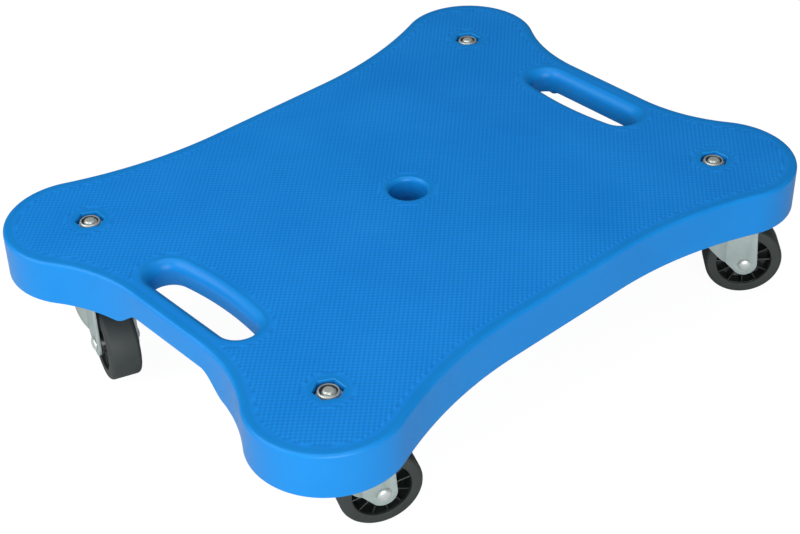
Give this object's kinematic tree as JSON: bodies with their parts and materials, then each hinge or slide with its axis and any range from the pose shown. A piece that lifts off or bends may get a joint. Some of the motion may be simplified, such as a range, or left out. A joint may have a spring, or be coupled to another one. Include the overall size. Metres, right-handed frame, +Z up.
{
  "type": "scooter board",
  "caption": "Low moulded scooter board with rounded lobed corners, a hand slot at each end, a hole in the middle and a swivel caster fixed under each corner.",
  "frame": {"origin": "on the floor, under the middle of the deck", "axes": "+X along the long side of the deck, towards the right hand slot; +Y across it, towards the back; +Z up"},
  "size_m": [0.4088, 0.308, 0.095],
  "materials": {
    "deck_plastic": "moulded polyethylene in bright blue, with a fine grid of raised squares on the top and smooth satin sides",
    "zinc_steel": "pressed steel sheet, bright zinc plated, satin",
    "bright_steel": "turned and cold-headed steel, bright zinc plated",
    "nylon": "dark nylon, satin",
    "tyre_rubber": "dark grey-green non-marking tread, slightly worn satin",
    "hub_plastic": "moulded polypropylene, near black"
  },
  "bodies": {
    "deck": {"deck": "deck_plastic", "stem_left_front": "bright_steel", "lock_nut_left_front": "bright_steel", "nut_insert_left_front": "nylon", "washer_left_front": "zinc_steel", "bearing_cap_left_front": "zinc_steel", "bearing_balls_left_front": "bright_steel", "thrust_ring_left_front": "nylon", "lower_race_left_front": "zinc_steel", "stem_right_front": "bright_steel", "lock_nut_right_front": "bright_steel", "nut_insert_right_front": "nylon", "washer_right_front": "zinc_steel", "bearing_cap_right_front": "zinc_steel", "bearing_balls_right_front": "bright_steel", "thrust_ring_right_front": "nylon", "lower_race_right_front": "zinc_steel", "stem_left_back": "bright_steel", "lock_nut_left_back": "bright_steel", "nut_insert_left_back": "nylon", "washer_left_back": "zinc_steel", "bearing_cap_left_back": "zinc_steel", "bearing_balls_left_back": "bright_steel", "thrust_ring_left_back": "nylon", "lower_race_left_back": "zinc_steel", "stem_right_back": "bright_steel", "lock_nut_right_back": "bright_steel", "nut_insert_right_back": "nylon", "washer_right_back": "zinc_steel", "bearing_cap_right_back": "zinc_steel", "bearing_balls_right_back": "bright_steel", "thrust_ring_right_back": "nylon", "lower_race_right_back": "zinc_steel"},
    "fork_left_front": {"fork_left_front": "zinc_steel", "axle_left_front": "bright_steel", "axle_sleeve_left_front": "zinc_steel"},
    "wheel_left_front": {"wheel_centre_left_front": "hub_plastic", "tyre_left_front": "tyre_rubber"},
    "fork_right_front": {"fork_right_front": "zinc_steel", "axle_right_front": "bright_steel", "axle_sleeve_right_front": "zinc_steel"},
    "wheel_right_front": {"wheel_centre_right_front": "hub_plastic", "tyre_right_front": "tyre_rubber"},
    "fork_left_back": {"fork_left_back": "zinc_steel", "axle_left_back": "bright_steel", "axle_sleeve_left_back": "zinc_steel"},
    "wheel_left_back": {"wheel_centre_left_back": "hub_plastic", "tyre_left_back": "tyre_rubber"},
    "fork_right_back": {"fork_right_back": "zinc_steel", "axle_right_back": "bright_steel", "axle_sleeve_right_back": "zinc_steel"},
    "wheel_right_back": {"wheel_centre_right_back": "hub_plastic", "tyre_right_back": "tyre_rubber"}
  },
  "joints": [
    {"name": "swivel_left_front", "type": "hinge", "parent": "deck", "child": "fork_left_front", "pos_m": [-0.1554, -0.1063, 0.0588], "axis": [0, 0, 1], "continuous": true},
    {"name": "roll_left_front", "type": "hinge", "parent": "fork_left_front", "child": "wheel_left_front", "pos_m": [-0.13323, -0.11548, 0.024], "axis": [0.3827, 0.9239, 0], "continuous": true},
    {"name": "swivel_right_front", "type": "hinge", "parent": "deck", "child": "fork_right_front", "pos_m": [0.1554, -0.1063, 0.0588], "axis": [0, 0, 1], "continuous": true},
    {"name": "roll_right_front", "type": "hinge", "parent": "fork_right_front", "child": "wheel_right_front", "pos_m": [0.17284, -0.12279, 0.024], "axis": [0.6871, 0.7266, 0], "continuous": true},
    {"name": "swivel_left_back", "type": "hinge", "parent": "deck", "child": "fork_left_back", "pos_m": [-0.1554, 0.1063, 0.0588], "axis": [0, 0, 1], "continuous": true},
    {"name": "roll_left_back", "type": "hinge", "parent": "fork_left_back", "child": "wheel_left_back", "pos_m": [-0.16309, 0.08357, 0.024], "axis": [0.9472, -0.3206, 0], "continuous": true},
    {"name": "swivel_right_back", "type": "hinge", "parent": "deck", "child": "fork_right_back", "pos_m": [0.1554, 0.1063, 0.0588], "axis": [0, 0, 1], "continuous": true},
    {"name": "roll_right_back", "type": "hinge", "parent": "fork_right_back", "child": "wheel_right_back", "pos_m": [0.14062, 0.12521, 0.024], "axis": [-0.788, -0.6157, 0], "continuous": true}
  ]
}
